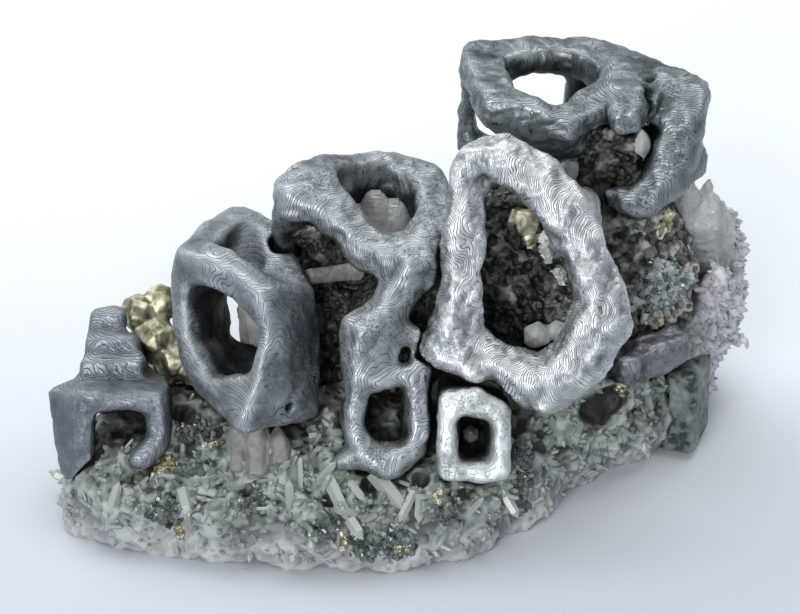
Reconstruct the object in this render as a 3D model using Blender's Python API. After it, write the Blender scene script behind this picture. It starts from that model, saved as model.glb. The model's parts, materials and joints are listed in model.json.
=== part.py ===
# Skeletal galena on a quartz matrix, modelled at its real size in metres, with +Z up.
# The best side faces -Y. The origin is on the surface that the specimen rests on, under its middle.
#
# Galena grows as cubes. In a skeletal crystal only the edges of the cube have grown, so what is left is a
# frame of knobbly struts round an empty middle. Each crystal here is a set of corners, each with a half
# width, and of struts between them. A strut is the convex hull of a small block at each of its corners.

import random
from math import pi, radians

import bmesh
import bpy
from mathutils import Euler, Matrix, Vector
from mathutils.bvhtree import BVHTree

MM = 0.001
SEED = 41

# The tables of corners are in millimetres, from a point near the middle of the ground. At the end, everything
# moves so that the origin lies under the middle of the whole, which is here in the tables' own coordinates.
CENTRE = Vector((0.546, 1.996, 0.0))

GAP = 0.35  # between a crystal and what it grows from
VOXEL = 0.45  # grid on which the struts of a crystal grow together
ROCK_VOXEL = 0.8  # the same for the coarse rock
KNOB = 0.5  # height of the knobs on the struts
KNOB_SPACING = 3.0
SOFTEN = 4  # rounds of smoothing

ROCK_KNOB = 2.6
ROCK_KNOB_SPACING = 5.0
ROCK_TRIANGLES = 950
CRUST_KNOB = 2.2
CRUST_TRIANGLES = 480

NEEDLES = 40  # quartz points that stand out from the rock
NEEDLE_LENGTH = (1.2, 2.6)
NEEDLE_RADIUS = (0.55, 0.95)
NEEDLE_ROOT = 1.2  # how deep a point starts in the rock
NEEDLE_TURN = 0.6  # how far a point leans away from the rock's normal
NEEDLE_SPACING = 2.6
NEEDLE_CLEARANCE = 1.5  # from every other crystal
NEEDLE_LOWEST = 1.0  # no tip is nearer to the ground
NEEDLE_GROUND = 2.0  # no point starts on a face nearer to the ground
STEEPEST = -0.35  # a face that looks further down bears no points
FRONT_SHARE = 2.5  # how much denser the points are on the front

TIP_SHARE = 1.5  # height of a quartz point's pyramid, in radii
TIP_MOST = 0.6  # the same at most, in lengths of the point
TAPER = 0.88

BRASS_SIDE = 1.7  # side of a chalcopyrite crystal, in its radii
BRASS_BEVEL = 0.42
BLOCK_BEVEL = 0.6
BLOCK_TURN = -18  # degrees
GROUND = (120, 90, 20)  # the block below the ground that cuts the rock off flat

# Finish of each mineral: linear colour, roughness, metallic.
FINISHES = {
    "galena": ((0.28, 0.31, 0.36), 0.38, 1.0),
    "quartz": ((0.55, 0.60, 0.55), 0.30, 0.0),
    "smoky_quartz": ((0.45, 0.43, 0.42), 0.20, 0.0),
    "sphalerite": ((0.06, 0.06, 0.05), 0.50, 0.1),
    "chalcopyrite": ((0.50, 0.42, 0.14), 0.35, 1.0),
}

FRONT_RING = {
    "knob": (7.3, 0.5, 36.9, 1.3),
    "shoulder": (6.3, -1.5, 33.6, 1.3),
    "left_upper": (6.1, -3.0, 30.2, 1.8),
    "left_middle": (5.8, -4.5, 27.0, 1.3),
    "left_lower": (6.1, -6.0, 24.0, 1.7),
    "heel": (4.9, -7.0, 21.5, 1.5),
    "sole": (9.5, -8.5, 18.9, 1.3),
    "toe": (14.5, -10.0, 16.8, 1.9),
    "toe_right": (17.8, -9.5, 20.2, 1.8),
    "elbow": (20.0, -8.0, 24.3, 2.1),
    "right_upper": (18.4, -6.0, 28.5, 1.7),
    "notch": (17.2, -5.0, 31.0, 1.6),
    "crest_right": (16.6, -4.0, 32.8, 1.8),
    "crest": (13.3, -1.5, 35.7, 1.6),
    "brow": (10.0, 0.0, 37.5, 1.6),
    "back_heel": (4.5, 1.0, 20.0, 1.3),
    "back_toe": (14.0, 1.0, 14.0, 1.8),
    "back_crest": (18.0, 4.0, 29.0, 1.5),
    "ledge_tip": (7.5, -10.5, 18.3, 0.4),
    "ledge_root": (2.2, -8.0, 19.7, 0.6),
}
FRONT_RING_STRUTS = [
    ("knob", "shoulder"),
    ("shoulder", "left_upper"),
    ("left_upper", "left_middle"),
    ("left_middle", "left_lower"),
    ("left_lower", "heel"),
    ("heel", "sole"),
    ("sole", "toe"),
    ("toe", "toe_right"),
    ("toe_right", "elbow"),
    ("elbow", "right_upper"),
    ("right_upper", "notch"),
    ("notch", "crest_right"),
    ("crest_right", "crest"),
    ("crest", "brow"),
    ("brow", "knob"),
    ("heel", "back_heel"),
    ("toe", "back_toe"),
    ("crest_right", "back_crest"),
    ("heel", "ledge_root", "ledge_tip"),
]

TOP_FRAME = {
    "back_left": (8.2, 16.5, 38.8, 1.7),
    "back_middle": (13.0, 17.8, 39.0, 1.4),
    "back_right": (18.6, 18.2, 38.8, 1.5),
    "right": (22.6, 14.0, 38.4, 1.9),
    "front_left": (9.6, 7.0, 39.0, 1.5),
    "front_middle": (16.0, 5.8, 37.8, 1.2),
    "front_right": (20.6, 8.6, 38.6, 1.5),
    "left_post": (6.9, 17.0, 34.0, 0.9),
    "left_foot": (6.7, 17.0, 29.5, 0.9),
    "foot_root": (15.0, 13.0, 28.0, 1.2),
    "back_foot": (18.0, 18.0, 31.5, 1.1),
    "apron_left": (13.5, 7.0, 33.6, 0.7),
    "apron_right": (18.0, 7.5, 34.4, 0.9),
    "socket_top_left": (22.6, 8.6, 39.6, 1.5),
    "socket_brow": (22.2, 4.8, 39.0, 1.3),
    "socket_top_notch": (25.0, 10.4, 38.4, 1.3),
    "socket_top_right": (27.2, 9.6, 39.7, 1.5),
    "socket_shoulder": (29.2, 8.6, 38.8, 1.5),
    "socket_right": (28.0, 7.3, 36.0, 1.8),
    "socket_low_right": (27.2, 5.8, 32.8, 1.7),
    "socket_low": (24.0, 3.8, 30.0, 1.2),
    "socket_low_left": (21.0, 4.5, 30.4, 0.9),
    "socket_back": (27.0, 13.0, 38.0, 1.6),
    "socket_back_low": (26.0, 12.0, 30.0, 1.4),
    "ear": (29.7, 7.4, 32.9, 0.9),
}
TOP_FRAME_STRUTS = [
    ("back_left", "back_middle"),
    ("back_middle", "back_right"),
    ("back_right", "right"),
    ("back_left", "front_left"),
    ("front_left", "front_middle"),
    ("front_middle", "front_right"),
    ("front_right", "right"),
    ("back_left", "left_post"),
    ("left_post", "left_foot"),
    ("left_foot", "foot_root"),
    ("back_right", "back_foot"),
    ("back_foot", "foot_root"),
    ("front_left", "front_middle", "apron_left"),
    ("front_middle", "apron_left", "apron_right"),
    ("right", "front_right", "socket_top_left"),
    ("socket_top_left", "socket_top_notch", "socket_brow"),
    ("right", "socket_top_notch", "socket_back"),
    ("socket_top_notch", "socket_top_right"),
    ("socket_top_right", "socket_shoulder"),
    ("socket_shoulder", "socket_right"),
    ("socket_right", "socket_low_right"),
    ("socket_low_right", "socket_low"),
    ("socket_low", "socket_low_left"),
    ("socket_shoulder", "socket_right", "socket_back", "socket_back_low"),
    ("socket_right", "socket_low_right", "socket_back_low"),
    ("socket_low_right", "socket_low", "socket_back_low"),
    ("socket_low_right", "ear"),
]

MIDDLE_FRAME = {
    "left": (-10.5, 3.0, 31.0, 1.7),
    "left_top": (-8.5, 6.0, 31.6, 1.5),
    "bar_1": (-8.0, 1.8, 30.7, 1.3),
    "bar_2": (-5.5, 0.8, 29.0, 1.3),
    "bar_3": (-3.0, -1.0, 27.2, 1.6),
    "front": (2.0, -3.0, 26.8, 1.7),
    "waist": (-0.7, -5.0, 23.8, 1.2),
    "knee": (-3.0, -7.5, 20.9, 2.1),
    "foot": (-3.7, -9.0, 18.0, 1.6),
    "left_post": (-11.9, 3.0, 27.5, 0.8),
    "left_post_foot": (-11.0, 4.5, 17.0, 0.9),
    "rim_left": (-5.8, 9.5, 30.2, 1.3),
    "rim_left_low": (-5.8, 9.0, 25.5, 0.8),
    "rim_back": (-1.0, 12.0, 29.1, 1.2),
    "rim_back_low": (-1.0, 11.0, 25.0, 0.9),
    "rim_right": (3.0, 10.0, 28.6, 1.3),
    "rim_right_low": (2.5, 9.0, 25.0, 1.0),
    "right": (3.8, 4.0, 28.3, 1.3),
    "right_low": (3.0, 4.5, 24.0, 1.0),
    "back_root": (0.0, 10.0, 17.0, 1.3),
    "box_top_left": (-4.2, -10.0, 17.7, 0.9),
    "box_top_right": (1.8, -8.9, 18.0, 0.8),
    "bridge_left": (-1.6, -7.2, 21.3, 0.8),
    "bridge_right": (2.8, -6.8, 21.0, 0.8),
    "box_left": (-4.7, -11.5, 13.0, 0.8),
    "box_bottom_left": (-3.3, -12.4, 10.6, 1.1),
    "box_bottom": (-0.9, -12.8, 9.7, 1.2),
    "box_right": (1.7, -12.0, 11.6, 0.8),
    "box_back_top": (2.0, -4.5, 15.5, 0.9),
    "box_back_bottom": (1.0, -6.5, 8.0, 1.0),
    "box_back_left": (-4.5, -5.5, 12.0, 1.0),
    "cell_top": (-9.4, -8.0, 16.6, 0.5),
    "cell_low": (-9.4, -10.8, 9.8, 0.5),
    "cell_front": (-7.2, -12.2, 8.8, 0.7),
    "cell_back_top": (-9.2, -3.5, 16.0, 0.5),
    "cell_back_low": (-9.2, -5.5, 9.0, 0.5),
}
MIDDLE_FRAME_STRUTS = [
    ("left", "left_top", "bar_1"),
    ("left_top", "bar_1", "bar_2"),
    ("bar_2", "bar_3"),
    ("bar_3", "front"),
    ("front", "waist"),
    ("waist", "knee"),
    ("knee", "foot"),
    ("left", "left_post"),
    ("left_post", "left_post_foot"),
    ("left_top", "rim_left", "rim_left_low"),
    ("rim_left", "rim_back", "rim_left_low", "rim_back_low"),
    ("rim_back", "rim_right", "rim_back_low", "rim_right_low"),
    ("rim_right", "right", "rim_right_low", "right_low"),
    ("right", "front"),
    ("right", "front", "right_low"),
    ("rim_back_low", "back_root"),
    ("foot", "box_top_left"),
    ("box_top_left", "box_top_right"),
    ("knee", "bridge_left"),
    ("bridge_left", "bridge_right"),
    ("bridge_right", "box_top_right"),
    ("box_top_right", "box_right"),
    ("box_right", "box_bottom"),
    ("box_bottom", "box_bottom_left"),
    ("box_bottom_left", "box_left"),
    ("box_left", "box_top_left"),
    ("box_top_right", "box_back_top", "box_right", "box_back_bottom"),
    ("box_left", "box_back_left"),
    ("box_bottom", "box_back_bottom"),
    ("box_back_left", "box_back_bottom"),
    ("cell_top", "cell_low", "cell_back_top", "cell_back_low"),
    ("cell_low", "cell_front", "cell_back_low"),
    ("cell_front", "box_bottom_left"),
]

LEFT_FRAME = {
    "top_left": (-20.6, -1.0, 26.0, 1.3),
    "top_back_left": (-17.0, 7.0, 25.8, 1.2),
    "top_back": (-14.1, 7.0, 25.4, 0.9),
    "lip_1": (-18.3, -2.5, 26.6, 1.4),
    "lip_2": (-15.8, -4.5, 26.2, 1.3),
    "nose": (-13.3, -7.0, 25.8, 1.1),
    "top_right": (-9.2, -2.8, 23.3, 0.7),
    "floor_back": (-12.6, 4.0, 22.2, 0.6),
    "floor_front": (-12.0, -2.5, 22.6, 0.6),
    "floor_left": (-17.3, 1.5, 23.1, 0.6),
    "nose_low": (-13.1, -7.7, 24.0, 1.0),
    "ridge_1": (-12.8, -8.6, 22.2, 0.6),
    "ridge_2": (-13.8, -10.9, 18.0, 0.8),
    "keel": (-15.2, -12.3, 14.2, 0.8),
    "post_top": (-21.6, -1.5, 22.0, 0.9),
    "post_middle": (-20.9, -4.0, 18.0, 1.0),
    "post_low": (-18.6, -8.0, 15.3, 0.9),
    "wall_back": (-18.3, 5.0, 21.5, 0.7),
    "wall_back_low": (-18.2, 3.0, 13.0, 0.8),
    "right_middle": (-8.9, -4.0, 18.0, 0.8),
    "right_low": (-9.4, -8.0, 12.9, 0.9),
    "back_low": (-12.0, 1.0, 12.5, 0.9),
}
LEFT_FRAME_STRUTS = [
    ("top_left", "top_back_left"),
    ("lip_2", "nose", "nose_low"),
    ("top_back_left", "top_back"),
    ("top_back", "top_right"),
    ("top_left", "lip_1"),
    ("lip_1", "lip_2"),
    ("lip_2", "nose"),
    ("nose", "top_right"),
    ("top_left", "lip_2", "floor_left"),
    ("lip_2", "nose", "floor_front", "floor_left"),
    ("top_back_left", "top_back", "floor_back"),
    ("top_back_left", "floor_left", "floor_back"),
    ("floor_back", "floor_front", "floor_left"),
    ("floor_back", "floor_front", "top_right", "top_back"),
    ("nose", "ridge_1"),
    ("ridge_1", "ridge_2"),
    ("ridge_2", "keel"),
    ("top_left", "post_top", "top_back_left", "wall_back"),
    ("post_top", "post_middle", "wall_back", "wall_back_low"),
    ("post_middle", "post_low", "wall_back_low"),
    ("post_low", "keel", "ridge_2"),
    ("post_low", "keel", "wall_back_low"),
    ("keel", "wall_back_low", "back_low", "right_low"),
    ("nose", "ridge_1", "top_right", "right_middle"),
    ("ridge_1", "ridge_2", "right_middle", "right_low"),
    ("ridge_2", "keel", "right_low"),
]

SMALL_BOX = {
    "top_left": (4.6, -11.0, 16.0, 0.9),
    "top_middle": (6.8, -10.8, 16.5, 0.9),
    "top_right": (10.0, -11.4, 15.0, 0.7),
    "middle_right": (10.6, -12.8, 12.0, 0.4),
    "low_left": (4.7, -13.8, 9.3, 0.9),
    "low_right": (9.9, -13.8, 9.6, 0.8),
    "back_top_left": (4.8, -5.5, 14.5, 0.9),
    "back_top_right": (9.2, -5.5, 14.0, 0.9),
    "back_low_left": (4.8, -7.5, 7.5, 0.9),
    "back_low_right": (9.2, -7.5, 7.5, 0.9),
}
SMALL_BOX_STRUTS = [
    ("top_left", "top_middle"),
    ("top_middle", "top_right"),
    ("top_right", "middle_right"),
    ("middle_right", "low_right"),
    ("low_right", "low_left"),
    ("low_left", "top_left"),
    ("top_left", "low_left", "back_top_left", "back_low_left"),
    ("top_left", "top_right", "back_top_left", "back_top_right"),
    ("top_right", "low_right", "back_top_right", "back_low_right"),
    ("low_left", "low_right", "back_low_left", "back_low_right"),
]

CORNER_FRAME = {
    "wing_top": (-34.4, -4.5, 12.4, 0.7),
    "wing_low": (-33.2, -7.0, 5.5, 0.8),
    "top_left": (-31.0, -8.0, 14.3, 0.9),
    "top_right": (-24.0, -8.0, 14.1, 1.0),
    "right": (-23.9, -9.5, 10.4, 0.9),
    "hook": (-25.8, -10.8, 8.5, 0.8),
    "low_left": (-31.4, -9.5, 6.2, 0.8),
    "left_back": (-30.5, -3.5, 7.0, 0.9),
    "back_top_left": (-31.5, -3.5, 12.8, 0.7),
    "back_top_right": (-24.2, -3.5, 12.6, 0.8),
    "back_right": (-24.0, -4.5, 8.0, 0.9),
    "back_low": (-26.5, -5.0, 7.5, 0.9),
    "step_1": (-31.3, -2.5, 14.8, 0.8),
    "step_2": (-26.4, -2.5, 14.8, 0.8),
    "step_3": (-30.8, -0.5, 16.0, 0.9),
    "step_4": (-27.0, -0.5, 16.2, 0.9),
    "step_5": (-30.4, 1.8, 17.6, 0.8),
    "step_6": (-28.2, 1.8, 17.9, 0.8),
    "core_top": (-29.4, 1.6, 16.0, 0.9),
    "core_left": (-30.6, 0.5, 11.0, 1.0),
    "core_right": (-26.8, 0.5, 11.0, 1.0),
    "core_root": (-28.5, -1.0, 7.0, 1.2),
}
CORNER_FRAME_STRUTS = [
    ("top_left", "top_right"),
    ("top_right", "right"),
    ("right", "hook"),
    ("top_left", "low_left"),
    ("wing_top", "top_left", "wing_low", "low_left"),
    ("wing_top", "back_top_left", "top_left"),
    ("top_left", "top_right", "back_top_left", "back_top_right"),
    ("top_right", "right", "back_top_right", "back_right"),
    ("hook", "back_right", "back_low"),
    ("low_left", "left_back", "wing_low"),
    ("back_top_left", "back_top_right", "core_left", "core_right"),
    ("step_1", "step_2", "core_left", "core_right"),
    ("step_3", "step_4", "core_left", "core_right"),
    ("step_5", "step_6", "core_top"),
    ("core_top", "core_left", "core_right"),
    ("core_left", "core_right", "core_root"),
]

SLAB = {
    "left": (22.8, -1.5, 14.2, 1.5),
    "right": (27.5, 2.0, 14.5, 1.4),
    "left_root": (22.5, 3.0, 12.0, 1.6),
    "right_root": (27.0, 6.0, 12.0, 1.4),
}
SLAB_STRUTS = [("left", "right", "left_root", "right_root")]

# Each galena crystal: its corners and struts, how its cube is turned in degrees, and its triangles.
GALENA = {
    "galena_top_frame": (TOP_FRAME, TOP_FRAME_STRUTS, (0, 0, -8), 970),
    "galena_front_ring": (FRONT_RING, FRONT_RING_STRUTS, (-20, 0, 25), 760),
    "galena_middle_frame": (MIDDLE_FRAME, MIDDLE_FRAME_STRUTS, (-8, 0, 25), 1050),
    "galena_left_frame": (LEFT_FRAME, LEFT_FRAME_STRUTS, (-5, 0, 40), 700),
    "galena_small_box": (SMALL_BOX, SMALL_BOX_STRUTS, (-22, 0, 0), 320),
    "galena_corner_frame": (CORNER_FRAME, CORNER_FRAME_STRUTS, (-10, 0, -10), 560),
    "galena_slab": (SLAB, SLAB_STRUTS, (0, 0, 30), 100),
}

# The dark crust fills the hollow behind the frames and climbs up to the top frame.
CRUST = {
    "left": (-9.0, 5.0, 13.5, 4.5),
    "middle": (1.0, 5.0, 13.5, 5.0),
    "right": (12.0, 5.0, 14.5, 5.5),
    "column": (20.5, 6.5, 17.0, 5.0),
    "column_right": (26.0, 9.0, 18.0, 3.5),
    "neck": (21.5, 9.0, 25.0, 4.5),
    "neck_middle": (20.6, 8.5, 29.5, 2.9),
    "neck_top": (21.6, 9.0, 34.0, 2.7),
    "ledge": (12.0, 9.6, 24.8, 3.4),
    "wall": (-4.5, 9.5, 18.5, 3.6),
    "wall_left": (-10.0, 8.0, 21.6, 2.5),
}
CRUST_STRUTS = [
    ("left", "middle"),
    ("middle", "right"),
    ("right", "column"),
    ("column", "column_right"),
    ("column", "neck"),
    ("neck", "neck_middle"),
    ("neck_middle", "neck_top"),
    ("neck", "ledge"),
    ("right", "ledge"),
    ("left", "middle", "wall"),
    ("left", "wall", "wall_left"),
    ("column_right", "neck"),
]

# The rock reaches below the ground here, and is then cut off flat there.
ROCK = {
    "left_end": (-30.0, -6.5, 2.0, 3.4),
    "left_front": (-25.5, -9.5, 2.0, 4.0),
    "front_left": (-14.0, -11.5, 2.0, 4.4),
    "front": (-2.5, -13.0, 2.0, 4.6),
    "front_right": (5.0, -10.6, 2.0, 3.8),
    "right_front": (9.6, -5.2, 2.0, 3.4),
    "right": (19.5, 6.5, 2.5, 3.8),
    "right_end": (26.8, 11.0, 4.0, 3.8),
    "shelf": (20.5, 2.0, 9.0, 3.4),
    "right_back": (24.0, 17.5, 5.0, 4.0),
    "back": (12.0, 17.0, 4.0, 4.2),
    "back_left": (-4.0, 12.5, 2.5, 4.2),
    "left_back": (-20.0, 3.0, 2.0, 4.0),
    "saddle_left": (-24.0, -2.0, 6.2, 3.8),
    "saddle": (-11.0, -3.5, 7.0, 4.1),
    "saddle_middle": (4.0, -2.5, 6.5, 4.2),
    "saddle_right": (16.0, 4.0, 8.0, 4.2),
    "wall": (29.5, 14.0, 12.0, 4.0),
    "wall_back": (22.0, 17.0, 14.0, 3.6),
}
ROCK_STRUTS = [
    ("left_end", "left_front", "left_back", "saddle_left"),
    ("left_front", "front_left", "saddle_left", "left_back", "saddle"),
    ("front_left", "front", "saddle", "saddle_middle", "back_left", "left_back"),
    ("front", "front_right", "saddle_middle", "saddle"),
    ("front_right", "right_front", "saddle_middle", "saddle_right", "back_left", "back"),
    ("right_front", "right", "saddle_right", "back"),
    ("right", "saddle_right", "right_end", "right_back", "back"),
    ("shelf", "saddle_right", "right", "right_end"),
    ("shelf", "saddle_right", "right_front"),
    ("right_end", "right_back", "wall", "wall_back", "saddle_right"),
    ("back", "right_back", "wall_back", "saddle_right"),
]

# Free-standing quartz crystals, each of one or more points that have grown together: base, tip, radius.
QUARTZ_POINTS = {
    "quartz_point_middle": [
        ((-2.5, 7.6, 18.0), (-2.5, 8.2, 28.2), 3.0),
        ((-4.2, 7.4, 18.0), (-4.5, 7.6, 27.0), 2.4),
        ((-0.6, 8.0, 18.0), (-0.7, 8.2, 27.2), 2.2),
    ],
    "quartz_blade": [((-4.0, 3.5, 22.0), (-10.3, -0.5, 23.8), 1.0)],
    "quartz_point_left": [((-14.5, 4.5, 13.0), (-15.2, 2.5, 20.8), 1.8)],
    "quartz_chunk_ring": [
        ((14.0, 0.5, 16.3), (13.4, -5.0, 19.6), 1.7),
        ((15.5, 0.5, 17.0), (15.8, -3.5, 19.3), 1.3),
    ],
    "quartz_chunk_top": [((23.8, 8.0, 31.0), (24.0, 6.0, 37.2), 1.5)],
    "quartz_under_top": [((17.5, 8.5, 29.0), (17.0, 6.0, 33.8), 2.2)],
    "quartz_in_small_box": [((7.0, -7.0, 9.0), (7.0, -10.5, 12.0), 1.0)],
    "quartz_big_right": [
        ((28.2, 12.0, 14.0), (28.4, 11.0, 30.6), 2.9),
        ((30.6, 12.5, 14.0), (31.3, 11.5, 28.0), 2.8),
        ((31.5, 13.5, 13.0), (33.0, 12.5, 25.2), 2.3),
    ],
}
BACK_CLUSTER = [
    ((30.5, 15.0, 8.0), (34.3, 16.5, 22.0), 3.0),
    ((27.0, 17.5, 10.0), (29.5, 19.0, 23.0), 2.8),
    ((31.5, 13.0, 7.0), (35.2, 14.0, 17.0), 2.6),
    ((30.0, 11.0, 5.0), (34.0, 11.5, 11.0), 2.5),
    ((28.5, 9.5, 3.0), (31.8, 9.0, 7.0), 2.0),
    ((31.0, 9.5, 14.5), (32.8, 7.0, 20.5), 2.3),
]
DARK_BLOCK = ((25.6, 2.6, 0.5), (31.3, 9.0, 10.2))  # its lowest and highest corner

# Chalcopyrite lumps: centre and radius of each knuckle.
BRASS_LEFT = [
    ((-26.4, 4.6, 16.4), 2.1),
    ((-24.2, 5.6, 16.9), 1.9),
    ((-24.9, 3.2, 14.2), 2.5),
    ((-22.9, 2.0, 12.6), 2.2),
    ((-21.0, 1.0, 11.6), 1.7),
    ((-24.0, 1.2, 10.8), 1.9),
]
BRASS_RING = [((12.3, 4.5, 27.3), 1.6), ((13.0, 4.0, 25.4), 1.3)]


def finish_of(mineral):
    """The material of a mineral, made once."""
    material = bpy.data.materials.get(mineral)
    if material is None:
        material = bpy.data.materials.new(mineral)
        material.use_nodes = True
        colour, roughness, metallic = FINISHES[mineral]
        shader = material.node_tree.nodes["Principled BSDF"]
        shader.inputs["Base Color"].default_value = (*colour, 1.0)
        shader.inputs["Roughness"].default_value = roughness
        shader.inputs["Metallic"].default_value = metallic
    return material


def new_object(name, bm, mineral=None):
    """An object in the scene with the mesh of bm, which was built in millimetres."""
    bmesh.ops.scale(bm, vec=(MM, MM, MM), verts=bm.verts)
    mesh = bpy.data.meshes.new(name)
    bm.to_mesh(mesh)
    bm.free()
    if mineral:
        mesh.materials.append(finish_of(mineral))
    obj = bpy.data.objects.new(name, mesh)
    bpy.context.scene.collection.objects.link(obj)
    return obj


def settle(obj):
    """Takes the object's mesh as its modifiers leave it, and removes them."""
    bpy.context.view_layer.update()
    seen = obj.evaluated_get(bpy.context.evaluated_depsgraph_get())
    mesh = bpy.data.meshes.new_from_object(seen)
    obj.modifiers.clear()
    obj.data = mesh
    return obj


def helper(obj):
    """Marks an object as a cutter, which is no part of the specimen."""
    obj.hide_render = True
    obj.display_type = "WIRE"
    return obj


def add_hull(bm, blocks, turn):
    """Adds the convex hull of cubes: each block is x, y, z and half width."""
    hull = bmesh.new()
    for x, y, z, half in blocks:
        place = Matrix.Translation((x, y, z)) @ turn
        bmesh.ops.create_cube(hull, size=2 * half, matrix=place)
    bmesh.ops.delete(hull, geom=hull.edges[:] + hull.faces[:], context="EDGES_FACES")
    found = bmesh.ops.convex_hull(hull, input=hull.verts)
    inner = [part for part in found["geom_interior"] if isinstance(part, bmesh.types.BMVert)]
    bmesh.ops.delete(hull, geom=inner, context="VERTS")
    bmesh.ops.recalc_face_normals(hull, faces=hull.faces)
    mesh = bpy.data.meshes.new("hull")
    hull.to_mesh(mesh)
    hull.free()
    bm.from_mesh(mesh)
    bpy.data.meshes.remove(mesh)


def grown(
    name,
    corners,
    struts,
    mineral,
    triangles,
    turn=(0, 0, 0),
    voxel=VOXEL,
    knob=KNOB,
    spacing=KNOB_SPACING,
):
    """One body from a table of corners and a list of struts, with knobs, in about that many triangles."""
    bm = bmesh.new()
    rotation = Euler([radians(angle) for angle in turn]).to_matrix().to_4x4()
    for strut in struts:
        add_hull(bm, [corners[corner] for corner in strut], rotation)
    obj = new_object(name, bm, mineral)
    merge = obj.modifiers.new("merge", "REMESH")
    merge.mode = "VOXEL"
    merge.voxel_size = voxel * MM
    smooth = obj.modifiers.new("soften", "SMOOTH")
    smooth.iterations = SOFTEN
    clouds = bpy.data.textures.new(name + "_knobs", "CLOUDS")
    clouds.noise_scale = spacing * MM
    lumps = obj.modifiers.new("knobs", "DISPLACE")
    lumps.texture = clouds
    lumps.texture_coords = "GLOBAL"
    lumps.mid_level = 0.5
    lumps.strength = knob * MM
    settle(obj)
    return thinned(obj, triangles)


def thinned(obj, triangles):
    """The object in about that many triangles."""
    obj.data.calc_loop_triangles()
    fewer = obj.modifiers.new("fewer", "DECIMATE")
    fewer.ratio = min(1.0, triangles / len(obj.data.loop_triangles))
    fewer.use_collapse_triangulate = True
    return settle(obj)


def main_body(obj):
    """Keeps the largest body of the object, where a cut has left crumbs."""
    bm = bmesh.new()
    bm.from_mesh(obj.data)
    bodies, left = [], set(bm.verts)
    while left:
        body, front = set(), [left.pop()]
        while front:
            vert = front.pop()
            body.add(vert)
            near = {edge.other_vert(vert) for edge in vert.link_edges} & left
            left -= near
            front.extend(near)
        bodies.append(body)
    bodies.sort(key=len)
    for body in bodies[:-1]:
        bmesh.ops.delete(bm, geom=list(body), context="VERTS")
    bm.to_mesh(obj.data)
    bm.free()
    return obj


def cut_by(obj, others, gap=GAP):
    """Trims the object so that it stops a gap short of the others."""
    for other in others:
        room = helper(bpy.data.objects.new(other.name + "_room", other.data.copy()))
        bpy.context.scene.collection.objects.link(room)
        wider = room.modifiers.new("wider", "DISPLACE")
        wider.mid_level = 0.0
        wider.strength = gap * MM
        settle(room)
        cut = obj.modifiers.new("cut", "BOOLEAN")
        cut.operation = "DIFFERENCE"
        cut.solver = "MANIFOLD"
        cut.object = room
        settle(obj)
        bpy.data.objects.remove(room)
    return main_body(obj)


def join_to(obj, other):
    """Joins the other object to this one, in one body, and removes it."""
    union = obj.modifiers.new("join", "BOOLEAN")
    union.operation = "UNION"
    union.solver = "MANIFOLD"
    union.object = other
    settle(obj)
    bpy.data.objects.remove(other)
    return obj


def add_point(bm, base, tip, radius):
    """Adds a quartz point: a six-sided prism from base, ending in a pyramid at tip."""
    base, tip = Vector(base), Vector(tip)
    along = tip - base
    pyramid = min(TIP_SHARE * radius, TIP_MOST * along.length)
    shaft = along.length - pyramid
    turn = along.to_track_quat("Z", "Y").to_matrix().to_4x4()
    middle = base + along.normalized() * shaft / 2
    made = bmesh.ops.create_cone(
        bm,
        cap_ends=True,
        segments=6,
        radius1=radius,
        radius2=radius * TAPER,
        depth=shaft,
        matrix=Matrix.Translation(middle) @ turn,
    )
    faces = {face for vert in made["verts"] for face in vert.link_faces}
    top = max(faces, key=lambda face: face.calc_center_median().dot(along))
    bmesh.ops.poke(bm, faces=[top], offset=pyramid)


def quartz(name, points, mineral="quartz"):
    """One body of quartz from several points that overlap."""
    whole = None
    for point in points:
        bm = bmesh.new()
        add_point(bm, *point)
        obj = new_object(name, bm, mineral)
        whole = join_to(whole, obj) if whole else obj
    return whole


def brass(name, knuckles):
    """A lump of chalcopyrite: blunt crystals that have grown into each other."""
    rng = random.Random(SEED)
    whole = None
    for centre, radius in knuckles:
        bm = bmesh.new()
        tilt = Euler([rng.uniform(0, pi) for _ in range(3)]).to_matrix().to_4x4()
        bmesh.ops.create_cube(bm, size=BRASS_SIDE * radius, matrix=Matrix.Translation(centre) @ tilt)
        bmesh.ops.bevel(
            bm,
            geom=bm.verts[:] + bm.edges[:],
            offset=BRASS_BEVEL * radius,
            offset_type="OFFSET",
            affect="EDGES",
            segments=1,
            profile=0.5,
            material=-1,
        )
        obj = new_object(name, bm, "chalcopyrite")
        whole = join_to(whole, obj) if whole else obj
    return whole


def rock():
    """The quartz rock, cut off flat where it rests."""
    base = grown(
        "quartz_matrix",
        ROCK,
        ROCK_STRUTS,
        "quartz",
        ROCK_TRIANGLES,
        voxel=ROCK_VOXEL,
        knob=ROCK_KNOB,
        spacing=ROCK_KNOB_SPACING,
    )
    bm = bmesh.new()
    place = Matrix.Translation((0, 0, -GROUND[2] / 2)) @ Matrix.Diagonal((*GROUND, 1))
    bmesh.ops.create_cube(bm, size=1.0, matrix=place)
    ground = helper(new_object("ground", bm))
    cut = base.modifiers.new("flat", "BOOLEAN")
    cut.operation = "DIFFERENCE"
    cut.solver = "MANIFOLD"
    cut.object = ground
    settle(base)
    bpy.data.objects.remove(ground)
    return base


def search_tree(obj):
    """A tree that finds the nearest point of an object's surface."""
    mesh = obj.data
    return BVHTree.FromPolygons([v.co for v in mesh.vertices], [p.vertices for p in mesh.polygons])


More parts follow.
